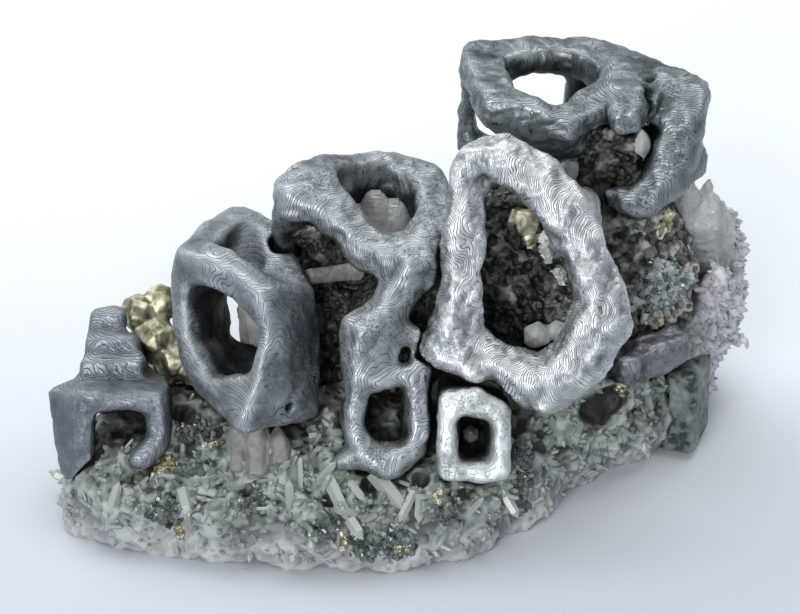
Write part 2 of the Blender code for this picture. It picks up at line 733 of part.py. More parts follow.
def drusy_points(base, guests):
    """Quartz points on the open faces of the rock, clear of the crystals that sit on it and of each other."""
    rng = random.Random(SEED)
    trees = [search_tree(guest) for guest in guests]
    faces = [p for p in base.data.polygons if p.normal.z > STEEPEST and p.center.z > NEEDLE_GROUND * MM]
    weights = [p.area * (FRONT_SHARE if p.normal.y < 0 else 1.0) for p in faces]
    taken = []
    while len(taken) < NEEDLES:
        face = rng.choices(faces, weights)[0]
        length = rng.uniform(*NEEDLE_LENGTH)
        radius = rng.uniform(*NEEDLE_RADIUS)
        lean = Vector([rng.uniform(-1, 1) for _ in range(3)]) * NEEDLE_TURN
        way = (face.normal + lean).normalized()
        start = face.center / MM
        tip = start + way * length
        middle = start + way * length / 2
        room = (length / 2 + NEEDLE_CLEARANCE) * MM
        clear = all(tree.find_nearest(middle * MM)[3] > room for tree in trees)
        apart = all((middle - other).length > NEEDLE_SPACING for other in taken)
        if tip.z < NEEDLE_LOWEST or not clear or not apart:
            continue
        taken.append(middle)
        bm = bmesh.new()
        add_point(bm, start - way * NEEDLE_ROOT, tip, radius)
        join_to(base, new_object("needle", bm, "quartz"))
    return base


def dark_block():
    """A blunt sphalerite crystal at the low right end."""
    low, high = Vector(DARK_BLOCK[0]), Vector(DARK_BLOCK[1])
    bm = bmesh.new()
    place = Matrix.Translation((low + high) / 2) @ Matrix.Rotation(radians(BLOCK_TURN), 4, "Z")
    bmesh.ops.create_cube(bm, size=1.0, matrix=place @ Matrix.Diagonal((*(high - low), 1)))
    bmesh.ops.bevel(
        bm,
        geom=bm.verts[:] + bm.edges[:],
        offset=BLOCK_BEVEL,
        offset_type="OFFSET",
        affect="EDGES",
        segments=1,
        profile=0.5,
        material=-1,
    )
    return new_object("sphalerite_block", bm, "sphalerite")


def main():
    for obj in list(bpy.data.objects):
        bpy.data.objects.remove(obj)

    base = join_to(rock(), quartz("back_cluster", BACK_CLUSTER))
    crust = grown(
        "sphalerite_crust",
        CRUST,
        CRUST_STRUTS,
        "sphalerite",
        CRUST_TRIANGLES,
        voxel=ROCK_VOXEL,
        knob=CRUST_KNOB,
    )
    cut_by(crust, [base])
    ground = [base, crust]

    galena = []
    for name, (corners, struts, turn, triangles) in GALENA.items():
        crystal = grown(name, corners, struts, "galena", triangles, turn=turn)
        cut_by(crystal, ground + galena)
        galena.append(crystal)

    others = [cut_by(dark_block(), ground)]
    for name, points in QUARTZ_POINTS.items():
        others.append(cut_by(quartz(name, points, "smoky_quartz"), ground + galena + others))
    for name, knuckles in (("chalcopyrite_left", BRASS_LEFT), ("chalcopyrite_in_ring", BRASS_RING)):
        others.append(cut_by(brass(name, knuckles), ground + galena + others))
    drusy_points(base, [crust] + galena + others)

    for obj in bpy.data.objects:
        obj.data.transform(Matrix.Translation(-CENTRE * MM))


main()
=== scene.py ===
# %% [markdown]
# # A skeletal galena specimen
#
# Galena is lead sulphide, and it grows as cubes. When a cube grows fast, only its edges keep up, and it ends
# as a frame of struts round an empty middle. This specimen has seven such crystals on a rock of small quartz
# crystals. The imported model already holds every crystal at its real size. This lesson gives each one the fine
# surface and the finish that the real one shows.

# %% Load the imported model
import json
import random
from math import pi, radians

import bmesh
import bpy
import numpy as np
from mathutils import Euler, Matrix, Vector, noise
from mathutils.bvhtree import BVHTree
from mathutils.kdtree import KDTree

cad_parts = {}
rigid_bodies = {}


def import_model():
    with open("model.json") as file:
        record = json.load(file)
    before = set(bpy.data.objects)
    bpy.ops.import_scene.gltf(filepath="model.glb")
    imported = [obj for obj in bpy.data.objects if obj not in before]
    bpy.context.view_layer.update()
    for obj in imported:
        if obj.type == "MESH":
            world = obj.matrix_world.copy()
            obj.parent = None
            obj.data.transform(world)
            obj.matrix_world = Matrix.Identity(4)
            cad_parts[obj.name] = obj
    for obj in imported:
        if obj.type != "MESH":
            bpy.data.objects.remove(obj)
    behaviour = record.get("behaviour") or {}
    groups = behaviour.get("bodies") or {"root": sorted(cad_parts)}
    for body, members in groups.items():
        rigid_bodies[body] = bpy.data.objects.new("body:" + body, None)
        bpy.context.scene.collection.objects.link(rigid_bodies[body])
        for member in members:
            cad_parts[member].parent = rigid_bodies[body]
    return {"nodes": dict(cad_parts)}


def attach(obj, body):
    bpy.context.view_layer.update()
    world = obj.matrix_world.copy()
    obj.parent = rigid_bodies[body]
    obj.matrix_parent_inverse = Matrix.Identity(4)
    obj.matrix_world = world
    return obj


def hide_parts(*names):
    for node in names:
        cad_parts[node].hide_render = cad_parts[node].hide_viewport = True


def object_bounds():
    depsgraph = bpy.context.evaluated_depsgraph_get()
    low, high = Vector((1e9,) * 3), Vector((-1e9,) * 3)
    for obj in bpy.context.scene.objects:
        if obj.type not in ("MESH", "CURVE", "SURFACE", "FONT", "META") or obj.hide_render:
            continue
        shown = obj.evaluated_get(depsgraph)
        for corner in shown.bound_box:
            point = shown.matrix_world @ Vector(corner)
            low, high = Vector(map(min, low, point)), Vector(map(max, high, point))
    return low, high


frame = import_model()
cad_box = [list(corner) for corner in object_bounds()]
MM = 0.001
print("nodes:", len(frame["nodes"]), "box:", [[round(v / MM, 1) for v in corner] for corner in cad_box])

# %% [markdown]
# The camera comes first. The photograph was taken from in front and well above, with a long lens: the tops of
# the crystals show, and near and far parts are almost the same scale.

# %% Camera
CAMERA_RISE = radians(32)  # how far the camera looks down
CAMERA_AWAY = 0.42  # metres from the camera to what it looks at
AIM = Vector((-0.546, -1.996, 20.0)) * MM
SENSOR, LENS = 36, 189  # mm: a long lens
look = Vector((0.0, np.cos(CAMERA_RISE), -np.sin(CAMERA_RISE)))
camera = bpy.data.objects.new("camera", bpy.data.cameras.new("camera"))
camera.location = AIM - look * CAMERA_AWAY
camera.rotation_euler = look.to_track_quat("-Z", "Y").to_euler()
camera.data.sensor_width = SENSOR
camera.data.lens = LENS
camera.data.clip_start = 10 * MM
bpy.context.scene.collection.objects.link(camera)
bpy.context.scene.camera = camera
print("camera height", round(camera.location.z / MM), "mm")

# %% [markdown]
# Every finish below is a node tree. Small helpers keep the trees short. One turns a colour written as on the
# web into the linear values that a shader wants. One adds a node, sets it and links it. Sockets are named
# where their names are plain, and numbered where several share a name. Map Range reads its value from 0,
# takes it from the range 1 to 2 and brings it to the range 3 to 4, and a colour Mix has its factor in 0.

# %% Helpers for finishes
def linear(colour):
    """The linear colour of an sRGB hex value."""
    parts = [int(colour[i : i + 2], 16) / 255 for i in (1, 3, 5)]
    return (*[p / 12.92 if p <= 0.04045 else ((p + 0.055) / 1.055) ** 2.4 for p in parts], 1.0)


def add_node(material, kind, sockets=None, **settings):
    """Adds a node. A socket takes a number, a colour or another node's output."""
    node = material.node_tree.nodes.new("ShaderNode" + kind)
    for name, value in settings.items():
        setattr(node, name, value)
    for socket, value in (sockets or {}).items():
        if isinstance(value, bpy.types.NodeSocket):
            material.node_tree.links.new(value, node.inputs[socket])
        else:
            node.inputs[socket].default_value = value
    return node


def new_material(name, **values):
    """A material with one shader, whose plain values are set here, and its Object coordinates."""
    material = bpy.data.materials.new(name)
    material.use_nodes = True
    material.node_tree.nodes.clear()
    output = add_node(material, "OutputMaterial")
    shader = add_node(material, "BsdfPrincipled")
    for socket, value in values.items():
        shader.inputs[socket.replace("_", " ")].default_value = value
    material.node_tree.links.new(shader.outputs[0], output.inputs["Surface"])
    return material, shader, add_node(material, "TexCoord").outputs["Object"]


def connect(material, shader, **sources):
    """Links node outputs to the shader's sockets."""
    for socket, source in sources.items():
        material.node_tree.links.new(source, shader.inputs[socket.replace("_", " ")])


# %% [markdown]
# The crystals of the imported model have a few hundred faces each. A copy, cut into small and even faces, is
# the start of the fine surface. It is rounded on a coarse grid first, because smoothing reaches further
# there, and then cut again on a fine grid. Rounding eats a little of the surface, so it is pushed out again
# in between.

# %% Helpers for surfaces
MERGE = 0.002 * MM  # points closer than this are one point
RELIEF_ROUNDS = 40  # how far the surface is smoothed to find what stands out of it


def settle(obj):
    """Takes the mesh as the modifiers leave it, and removes them."""
    bpy.context.view_layer.update()
    seen = obj.evaluated_get(bpy.context.evaluated_depsgraph_get())
    mesh = bpy.data.meshes.new_from_object(seen)
    obj.modifiers.clear()
    obj.data = mesh
    return obj


def even_faces(obj, voxel, rounds, push=0.0):
    """Cuts the surface into even faces, smooths it in so many rounds and pushes it outwards."""
    even = obj.modifiers.new("even", "REMESH")
    even.mode = "VOXEL"
    even.voxel_size = voxel * MM
    soft = obj.modifiers.new("soft", "SMOOTH")
    soft.iterations = rounds
    out = obj.modifiers.new("out", "DISPLACE")
    out.mid_level = 0.0
    out.strength = push * MM
    return settle(obj)


def copy_of(node, name):
    """A copy of a node's mesh with its loose triangles merged."""
    mesh = frame["nodes"][node].data.copy()
    bm = bmesh.new()
    bm.from_mesh(mesh)
    bmesh.ops.remove_doubles(bm, verts=bm.verts, dist=MERGE)
    bm.to_mesh(mesh)
    bm.free()
    obj = bpy.data.objects.new(name, mesh)
    bpy.context.scene.collection.objects.link(obj)
    return obj


def points_of(mesh):
    """Every point of a mesh, one row each."""
    points = np.empty(len(mesh.vertices) * 3)
    mesh.vertices.foreach_get("co", points)
    return points.reshape(-1, 3)


def normals_of(mesh):
    """The normal at every point of a mesh."""
    normals = np.empty(len(mesh.vertices) * 3)
    mesh.vertex_normals.foreach_get("vector", normals)
    return normals.reshape(-1, 3)


def write_on(mesh, name, values):
    """Keeps three values, or one, at every point under a name that a finish can read."""
    kind, field = ("FLOAT", "value") if values.ndim == 1 else ("FLOAT_VECTOR", "vector")
    mesh.attributes.new(name, kind, "POINT").data.foreach_set(field, values.ravel())


def average(mesh, values, rounds):
    """Evens out one value a point along the edges of the mesh."""
    ends = np.empty(len(mesh.edges) * 2, dtype=np.int32)
    mesh.edges.foreach_get("vertices", ends)
    first, second = ends.reshape(-1, 2).T
    around = 1 + np.bincount(ends, minlength=len(values))
    for _ in range(rounds):
        forth = np.bincount(first, values[second], len(values))
        back = np.bincount(second, values[first], len(values))
        values = (values + forth + back) / around
    return values


def write_relief(obj):
    """Writes how far each point stands out of the smoothed surface: edges more than 0, hollows less."""
    points = points_of(obj.data)
    smooth = np.stack([average(obj.data, column, RELIEF_ROUNDS) for column in points.T], axis=1)
    out = ((points - smooth) * normals_of(obj.data)).sum(axis=1)
    write_on(obj.data, "relief", average(obj.data, out / out.std(), 3))


def roughen(obj, *lumps):
    """Pushes the surface in and out by noise. Each lump is a kind, a size and a height."""
    for kind, size, height in lumps:
        texture = bpy.data.textures.new(obj.name, kind)
        texture.noise_scale = size * MM
        push = obj.modifiers.new("push", "DISPLACE")
        push.texture = texture
        push.texture_coords = "LOCAL"
        push.strength = height * MM
        settle(obj)
    return obj


def dress(obj, material, slot, *nodes):
    """Gives the piece its finish, lets it ride on the specimen and stand for its nodes."""
    obj.data.materials.clear()
    obj.data.materials.append(material)
    obj.data.shade_smooth()
    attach(obj, "root")
    if nodes:
        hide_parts(*nodes)
    print(obj.name, len(obj.data.polygons), "faces")
    return obj


# %% [markdown]
# Holes and gaps are painted dark, as painted shade where little light gets in. From a sample of the points,
# rays are sent out in a few directions. The share of them that meets no crystal within reach says how open
# the point is, and each other point takes the value of the sample next to it.

# %% Open and shut-in places
REACH = 13 * MM
RAYS = 18
SAMPLES = 4000
OFF_SURFACE = 0.9 * MM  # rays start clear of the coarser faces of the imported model
OUTWARDS = 1.02  # a normal this long, added to a ray, turns every ray away from the surface
OPEN_ROUNDS = 12  # how often the values are evened out
draws = np.random.default_rng(1)
rays = [Vector(way).normalized() for way in draws.normal(size=(RAYS, 3))]


def tree_of(*pieces):
    """A search tree of the faces of pieces."""
    corners, faces = [], []
    for piece in pieces:
        first = len(corners)
        corners += [v.co.copy() for v in piece.data.vertices]
        faces += [[first + i for i in p.vertices] for p in piece.data.polygons]
    return BVHTree.FromPolygons(corners, faces)


solids = tree_of(*frame["nodes"].values())


def write_open(obj):
    """Writes how open each point is, from 0 to 1."""
    points, normals = points_of(obj.data), normals_of(obj.data)
    known = KDTree(SAMPLES)
    seen = []
    for index, pick in enumerate(draws.integers(0, len(points), SAMPLES)):
        normal = Vector(normals[pick])
        start = Vector(points[pick]) + normal * OFF_SURFACE
        ways = [(normal * OUTWARDS + ray).normalized() for ray in rays]
        hits = [solids.ray_cast(start, way, REACH)[0] for way in ways]
        seen.append(hits.count(None) / RAYS)
        known.insert(points[pick], index)
    known.balance()
    values = np.array([seen[known.find(point)[1]] for point in points])
    write_on(obj.data, "open", average(obj.data, values, OPEN_ROUNDS))


# %% [markdown]
# A galena crystal is a stack of thin layers, and where a layer ends it leaves a step. On a rounded strut the
# ends of the layers draw contour lines, like the lines on a map. They lie where the surface crosses even
# heights along one of the three axes of the cube, and the axis that counts is the one that the surface faces.
#
# Each point is moved along the axes towards the nearest even height, which cuts real steps. Three things are
# kept at each point for the finish: the height in layers, how much each axis counts, and how wide a line is.

# %% Layers of a galena crystal
LAYER = 0.36 * MM  # real layers are thinner and would not show at this size
LINE = 0.05 * MM  # half the width of a line, drawn coarser than life so that it shows
noise.seed_set(1)  # unseeded, noise vectors would come out different in each run
LEAST_REACH = 0.02  # a line never gets narrower than this share of a layer
STEEP = 3.0  # how steep the end of a layer is
WANDERS = {2.2: 1.0, 0.8: 0.2}  # how far the lines wander: the size of each sway in mm, and layers


def wander(points, size):
    """Smooth noise at every point."""
    return np.array([noise.noise_vector(Vector(point) / (size * MM)) for point in points])


def grow_layers(obj, turn, depth, lines):
    """Cuts steps along the axes of a crystal turned by turn, and keeps what its lines need."""
    mesh = obj.data
    points = points_of(mesh)
    axes = np.array(Euler(turn).to_matrix())
    facing = np.clip((normals_of(mesh) @ axes) ** 2, 0.0, 1.0)
    share = facing**3 / (facing**3).sum(axis=1, keepdims=True)
    level = points @ axes / LAYER
    for size, layers in WANDERS.items():
        level += layers * wander(points, size)
    part = level - np.floor(level)
    eased = part**STEEP / (part**STEEP + (1 - part) ** STEEP)
    points += (depth * LAYER * share * (eased - part)) @ axes.T
    mesh.vertices.foreach_set("co", points.ravel())
    mesh.update()
    write_on(mesh, "level", level * lines)
    write_on(mesh, "share", share)
    write_on(mesh, "reach", LINE / LAYER * lines * np.sqrt(1.0 - facing) + LEAST_REACH)
    return obj


# %% [markdown]
# Galena has a matt metallic lustre: it reflects less than half of the light, in a bluish grey. The finish
# draws the contour lines dark, because a step throws a shadow, and speckles some patches with small etched
# pits, painted dark as shade. Edges are painted a little lighter than hollows, and shut-in places are painted
# almost black, as painted shade.

# %% Galena finish
PATCH = 4.5 * MM  # patches of lighter and darker metal
ETCHING = 0.24 * MM  # etched pits, in life finer
FROST = 0.16 * MM  # the frosted grain between them, in life finer
LINE_SHADOW = "#23282b"
# painted shade: the colour of shut-in places
PAINTED_SHADE_METAL = "#1a2220"


def galena(name, bright, deep, roughness, line_depth, pits):
    """Galena, grown in layers and etched: a grey metal, matt from its grain and striped by its steps."""
    material, shader, place = new_material(name, Metallic=1.0)
    level, share, reach = [
        add_node(material, "Attribute", attribute_name=each).outputs["Vector"]
        for each in ("level", "share", "reach")
    ]
    part = add_node(material, "VectorMath", {0: level}, operation="FRACTION")
    centred = add_node(material, "VectorMath", {0: part.outputs[0], 1: (0.5, 0.5, 0.5)}, operation="SUBTRACT")
    beside = add_node(material, "VectorMath", {0: centred.outputs[0]}, operation="ABSOLUTE")
    near = add_node(material, "VectorMath", {0: beside.outputs[0], 1: reach}, operation="DIVIDE")
    line = add_node(
        material,
        "MapRange",
        {6: near.outputs[0], 7: (0.2, 0.2, 0.2), 8: (1, 1, 1), 9: (1, 1, 1), 10: (0, 0, 0)},
        data_type="FLOAT_VECTOR",
    )
    lines = add_node(material, "VectorMath", {0: line.outputs[1], 1: share}, operation="DOT_PRODUCT")
    patches = add_node(material, "TexNoise", {"Vector": place, "Scale": 1 / PATCH, "Detail": 1.5})
    faint = add_node(material, "MapRange", {0: patches.outputs[0], 1: 0.35, 2: 0.6, 3: 0.35, 4: 1.0})
    lined = add_node(material, "Math", {0: lines.outputs["Value"], 1: line_depth}, operation="MULTIPLY")
    drawn = add_node(material, "Math", {0: lined.outputs[0], 1: faint.outputs[0]}, operation="MULTIPLY")
    etched = add_node(material, "TexNoise", {"Vector": place, "Scale": 1 / ETCHING, "Detail": 2.0})
    # painted shade: the etched pits are drawn dark
    pit = add_node(material, "MapRange", {0: etched.outputs[0], 1: 0.54, 2: 0.62})
    where = add_node(material, "MapRange", {0: patches.outputs[0], 1: 0.56, 2: 0.46, 4: pits})
    pitted = add_node(material, "Math", {0: pit.outputs[0], 1: where.outputs[0]}, operation="MULTIPLY")
    dark = add_node(material, "Math", {0: drawn.outputs[0], 1: pitted.outputs[0]}, operation="MAXIMUM")
    # painted shade: edges lighter and hollows darker, by how far each point stands out
    relief = add_node(material, "Attribute", attribute_name="relief")
    painted_relief_shade = add_node(material, "MapRange", {0: relief.outputs["Fac"], 1: -2.0, 2: 2.0, 3: -0.36, 4: 0.36})
    tone = add_node(
        material, "Math", {0: patches.outputs[0], 1: painted_relief_shade.outputs[0]}, operation="ADD", use_clamp=True
    )
    body = add_node(
        material, "Mix", {0: tone.outputs[0], 6: linear(deep), 7: linear(bright)}, data_type="RGBA"
    )
    marked = add_node(
        material, "Mix", {0: dark.outputs[0], 6: body.outputs[2], 7: linear(LINE_SHADOW)}, data_type="RGBA"
    )
    # painted shade: shut-in places turn almost black
    open_part = add_node(material, "Attribute", attribute_name="open")
    shut = add_node(
        material,
        "MapRange",
        {0: open_part.outputs["Fac"], 1: 0.12, 2: 0.6, 3: 0.93, 4: 0.0},
        interpolation_type="SMOOTHSTEP",
    )
    colour = add_node(
        material,
        "Mix",
        {0: shut.outputs[0], 6: marked.outputs[2], 7: linear(PAINTED_SHADE_METAL)},
        data_type="RGBA",
    )
    grain = add_node(material, "TexNoise", {"Vector": place, "Scale": 1 / FROST, "Detail": 2.0})
    hollow = add_node(
        material, "Math", {0: grain.outputs[0], 1: 0.35, 2: dark.outputs[0]}, operation="MULTIPLY_ADD"
    )
    bump = add_node(
        material, "Bump", {"Height": hollow.outputs[0], "Strength": 0.6, "Distance": -0.06 * MM}
    )
    gloss = add_node(
        material,
        "MapRange",
        {0: grain.outputs[0], 1: 0.35, 2: 0.65, 3: roughness - 0.18, 4: roughness + 0.12},
    )
    connect(
        material, shader, Base_Color=colour.outputs[2], Normal=bump.outputs[0], Roughness=gloss.outputs[0]
    )
    return material


# %% [markdown]
# A few things have a place of their own in the photograph. A ray through a pixel of it finds where they are
# on the specimen: the photograph is 800 pixels wide and 614 high. A hollow seen there is pressed into the
# surface with soft edges, and its floor is noted as deeper and less open, so that it is painted darker, as
# painted shade.

# %% From the photograph to the specimen
# painted shade: how much darker the floor of a full hollow is painted, through each value
SHADE_WITH_DEPTH = {"depth": 3.0, "relief": 1.5, "open": 1.0}  # how much a full hollow takes off each
RIM = 1.2  # a hollow fades out at this many of its radii
WALL = 0.7  # less than 1 makes its wall steeper and its floor flatter
WIDE, HIGH = 800, 614
FOCAL = LENS / SENSOR * WIDE
camera_turn = camera.rotation_euler.to_matrix()


def seen_at(pixel, tree):
    """The place and the normal where the view through a pixel meets the faces of a tree."""
    way = camera_turn @ Vector((pixel[0] - WIDE / 2, HIGH / 2 - pixel[1], -FOCAL))
    place, normal, _, _ = tree.ray_cast(camera.location, way.normalized())
    return place, normal


def dig(obj, pixel, radius, deep):
    """Presses a hollow into the surface where the photograph shows one."""
    middle, normal = seen_at(pixel, tree_of(obj))
    points = points_of(obj.data)
    away = np.linalg.norm(points - np.array(middle), axis=1) / (radius * MM)
    press = np.clip(RIM - away, 0.0, 1.0) ** WALL
    points -= np.outer(press * deep * MM, np.array(normal))
    obj.data.vertices.foreach_set("co", points.ravel())
    # the floor of the hollow is painted darker, as painted shade
    for layer in obj.data.attributes:
        if layer.name in SHADE_WITH_DEPTH:
            values = np.empty(len(points))
            layer.data.foreach_get("value", values)
            layer.data.foreach_set("value", values - SHADE_WITH_DEPTH[layer.name] * press)
    obj.data.update()


# %% [markdown]
# The seven galena crystals. The front ring and the small box catch most light and look silver, so their colours
# are painted brighter, as painted light, and the others are painted greyer. The table gives each crystal's
# turn, its finish, and how far it is rounded. Two of them have grooves of their own: the ribs of the top
# crystal's knob stand between four of them.

# %% Galena crystals
COARSE_FACE, FINE_FACE = 0.34, 0.14  # mm
PUSH_A_ROUND = 0.012  # mm that each round of smoothing takes, given back
LARGE_LUMP, SMALL_LUMP = 3.2, 1.1  # mm across
SMALL_SHARE = 0.08  # how high the small lumps are, as a share of the large ones
# painted light: the bright and deep colours are lit and shaded copies of one galena colour, brightest on the
# ring and the small box
GALENA = {
    # turn in degrees, bright and deep colour, roughness, darkness of the lines, pits,
    # rounds of smoothing, height of the lumps in mm, height of a step in layers, lines in a layer
    "galena_front_ring": ((-20, 0, 35), "#f0f2f4", "#697075", 0.56, 0.85, 0.4, 10, 1.4, 0.4, 3.0),
    "galena_small_box": ((-22, 0, 0), "#dde2e2", "#7a8182", 0.62, 0.5, 0.4, 8, 0.7, 0.2, 2.4),
    "galena_top_frame": ((0, 0, -8), "#a0a8ab", "#2e3539", 0.55, 0.75, 0.6, 6, 1.0, 0.4, 2.5),
    "galena_middle_frame": ((-8, 0, 25), "#bcc2c6", "#555c61", 0.58, 0.75, 0.6, 8, 0.9, 0.25, 2.4),
    "galena_left_frame": ((-5, 0, 40), "#b4babf", "#42494f", 0.58, 0.75, 0.4, 4, 0.5, 0.25, 2.4),
    "galena_corner_frame": ((-10, 0, -10), "#989ea5", "#41474e", 0.62, 0.75, 0.3, 3, 0.6, 0.35, 2.4),
    "galena_slab": ((0, 0, 30), "#95989e", "#3a3b3f", 0.6, 0.5, 0.9, 3, 1.6, 0.2, 1.6),
}
GROOVES = {
    # pixel of the photograph, radius and depth in mm
    "galena_top_frame": [
        ((650, 78), 0.7, 0.5),
        ((650, 88), 0.8, 0.7),
        ((651, 98), 0.8, 0.7),
        ((652, 108), 0.7, 0.6),
    ],
    "galena_left_frame": [((290, 408), 0.5, 0.5)],
}
for node, row in GALENA.items():
    degrees, bright, deep, roughness, line_depth, pits, rounds, lumps, steps, lines = row
    turn = [radians(angle) for angle in degrees]
    crystal = even_faces(copy_of(node, node + "_surface"), COARSE_FACE, rounds, PUSH_A_ROUND * rounds)
    even_faces(crystal, FINE_FACE, rounds=4)
    roughen(crystal, ("CLOUDS", LARGE_LUMP, lumps), ("CLOUDS", SMALL_LUMP, SMALL_SHARE * lumps))
    write_relief(crystal)
    write_open(crystal)
    for groove in GROOVES.get(node, []):
        dig(crystal, *groove)
    grow_layers(crystal, turn, steps, lines)
    dress(crystal, galena(node + "_finish", bright, deep, roughness, line_depth, pits), "galena", node)

# %% [markdown]
# Rock and crust are mixtures, so their colour changes from grain to grain. Their hollows are painted darker
# than their crests, as painted shade, and shut-in places almost black. The depth of the surface is worked out
# as the shift between the smooth mesh and the rough one, and kept at each point for the finish.

# %% Broken surfaces
# painted light: the rock and the druse are painted paler at their thin edges, as light shining through
PALE = "#c4c5ca"  # the thin edge of the druse, where light comes through
LOW_EDGE = 7 * MM  # the rock is paler below this
RIGHT_EDGE = 27 * MM, 32 * MM  # and it turns pale to the right between these two places
PAINTED_SHADE_ROCK = "#0a0e0d"


def break_up(obj, *lumps):
    """Roughens the surface, and writes on it how far each point went in or out."""
    before = points_of(obj.data)
    normals = normals_of(obj.data)
    roughen(obj, *lumps)
    shift = ((points_of(obj.data) - before) * normals).sum(axis=1)
    write_on(obj.data, "depth", (shift - shift.mean()) / shift.std())
    return obj


def painted_edge_glow(material, place, colour):
    """The colour, painted paler low on the rock and at its right end, as light shining through the thin edge.
    """
    at = add_node(material, "SeparateXYZ", {0: place})
    low = add_node(material, "MapRange", {0: at.outputs["Z"], 1: LOW_EDGE, 2: 0, 4: 0.5})
    right = add_node(material, "MapRange", {0: at.outputs["X"], 1: RIGHT_EDGE[0], 2: RIGHT_EDGE[1]})
    edge = add_node(material, "Math", {0: low.outputs[0], 1: right.outputs[0]}, operation="MAXIMUM")
    mixed = add_node(material, "Mix", {0: edge.outputs[0], 6: colour, 7: linear(PALE)}, data_type="RGBA")
    return mixed.outputs[2]


def paint_shade(material, colour, shut, clear):
    """The colour, painted almost black as shade where the surface is no more open than shut, and as it is from
    clear on.
    """
    open_part = add_node(material, "Attribute", attribute_name="open")
    part = add_node(
        material,
        "MapRange",
        {0: open_part.outputs["Fac"], 1: shut, 2: clear, 3: 0.95, 4: 0.0},
        interpolation_type="SMOOTHSTEP",
    )
    return add_node(
        material, "Mix", {0: part.outputs[0], 6: colour, 7: linear(PAINTED_SHADE_ROCK)}, data_type="RGBA"
    ).outputs[2]


def broken(
    name, crest, middle, hollow, fleck, grain, roughness, bump_height, edge=False, shut=0.1, clear=0.56
):
    """A mixed rock: the colours of its crests, middle, hollows (painted dark as shade) and flecks, and its
    grain in mm.
    """
    material, shader, place = new_material(name, Roughness=roughness)
    depth = add_node(material, "Attribute", attribute_name="depth")
    mottle = add_node(material, "TexNoise", {"Vector": place, "Scale": 1 / (4 * grain * MM), "Detail": 4.0})
    spread = add_node(material, "MapRange", {0: mottle.outputs[0], 1: 0.3, 2: 0.7, 3: -0.8, 4: 0.8})
    height = add_node(
        material, "Math", {0: depth.outputs["Fac"], 1: spread.outputs[0]}, operation="ADD"
    )
    # painted shade: hollows darker and crests lighter by their depth
    low = add_node(material, "MapRange", {0: height.outputs[0], 1: -1.2, 2: -0.3})
    high = add_node(material, "MapRange", {0: height.outputs[0], 1: 0.1, 2: 1.6})
    lower = add_node(
        material, "Mix", {0: low.outputs[0], 6: linear(hollow), 7: linear(middle)}, data_type="RGBA"
    )
    upper = add_node(
        material, "Mix", {0: high.outputs[0], 6: lower.outputs[2], 7: linear(crest)}, data_type="RGBA"
    )
    cells = add_node(material, "TexVoronoi", {"Vector": place, "Scale": 1 / (grain * MM)})
    pick = add_node(material, "SeparateColor", {0: cells.outputs["Color"]})
    some = add_node(material, "MapRange", {0: pick.outputs[0], 1: 0.84, 2: 0.9, 4: 0.7})
    mixed = add_node(
        material, "Mix", {0: some.outputs[0], 6: upper.outputs[2], 7: linear(fleck)}, data_type="RGBA"
    )
    colour = painted_edge_glow(material, place, mixed.outputs[2]) if edge else mixed.outputs[2]
    bump = add_node(
        material,
        "Bump",
        {"Height": cells.outputs["Distance"], "Strength": 0.6, "Distance": -bump_height * MM},
    )
    connect(material, shader, Base_Color=paint_shade(material, colour, shut, clear), Normal=bump.outputs[0])
    return material


# %% [markdown]
# The rock is milky vein quartz, grown through with dark grains. Fine lumps and cells push its even faces in
# and out, and the hollows between its crystals are dug where the photograph shows them.

# %% Rock
HOLLOWS = {
    # pixel of the photograph, radius and depth in mm
    "cave": ((599, 410), 1.9, 1.8),
    "cave_top": ((613, 404), 1.7, 1.6),
    "under_middle_frame": ((370, 487), 1.0, 1.0),
    "beside_middle_frame": ((421, 478), 0.9, 1.2),
    "under_left_frame": ((236, 468), 0.8, 0.8),
    "beside_corner_frame": ((186, 414), 1.2, 1.0),
    "behind_long_blade": ((330, 500), 0.7, 0.8),
    "behind_pale_blade": ((247, 492), 0.7, 0.8),
}
ROCK_FACE, CRUST_FACE, BLOCK_FACE = 0.3, 0.19, 0.16  # mm
rock = even_faces(copy_of("quartz_matrix", "quartz_rock"), ROCK_FACE, rounds=6)
break_up(rock, ("CLOUDS", 3.6, 1.2), ("CLOUDS", 1.2, 0.7), ("VORONOI", 0.9, 0.5))
write_open(rock)
for hollow in HOLLOWS.values():
    dig(rock, *hollow)
# milky vein quartz, broken by growth: a matt, grey-green stone with hollows painted dark as shade, and painted
# paler where it is thin, as light shining through
rock_finish = broken(
    "milky_vein_quartz",
    crest="#949b97",
    middle="#6b736e",
    hollow="#161b19",
    fleck="#333937",
    grain=0.6,
    roughness=0.6,
    bump_height=0.1,
    edge=True,
    clear=0.44,
)
dress(rock, rock_finish, "quartz", "quartz_matrix")

# %% [markdown]
# The dark crust is sphalerite, eaten into a sponge of small holes. Lumps and cells of four sizes push its
# surface in and out, some by more than their own width, which leaves overhangs and pits. The block at the low
# right end is the same mineral, with dull faces that were hardly eaten.

# %% Crust
crust = even_faces(copy_of("sphalerite_crust", "crust_surface"), CRUST_FACE, rounds=3)
break_up(crust, ("CLOUDS", 2.4, 1.3), ("CLOUDS", 1.0, 1.5), ("VORONOI", 1.5, 0.7), ("CLOUDS", 0.4, 0.5))
write_open(crust)
# etched sphalerite: grey, dusty crests over holes painted almost black as shade
crust_finish = broken(
    "etched_sphalerite",
    crest="#a09e9a",
    middle="#4d4e4b",
    hollow="#050706",
    fleck="#626a68",
    grain=0.4,
    roughness=0.5,
    bump_height=0.12,
    shut=0.3,
    clear=0.72,
)
dress(crust, crust_finish, "sphalerite", "sphalerite_crust")
block = even_faces(copy_of("sphalerite_block", "block_surface"), BLOCK_FACE, rounds=3)
break_up(block, ("CLOUDS", 2.2, 0.3), ("CLOUDS", 0.7, 0.15))
write_open(block)
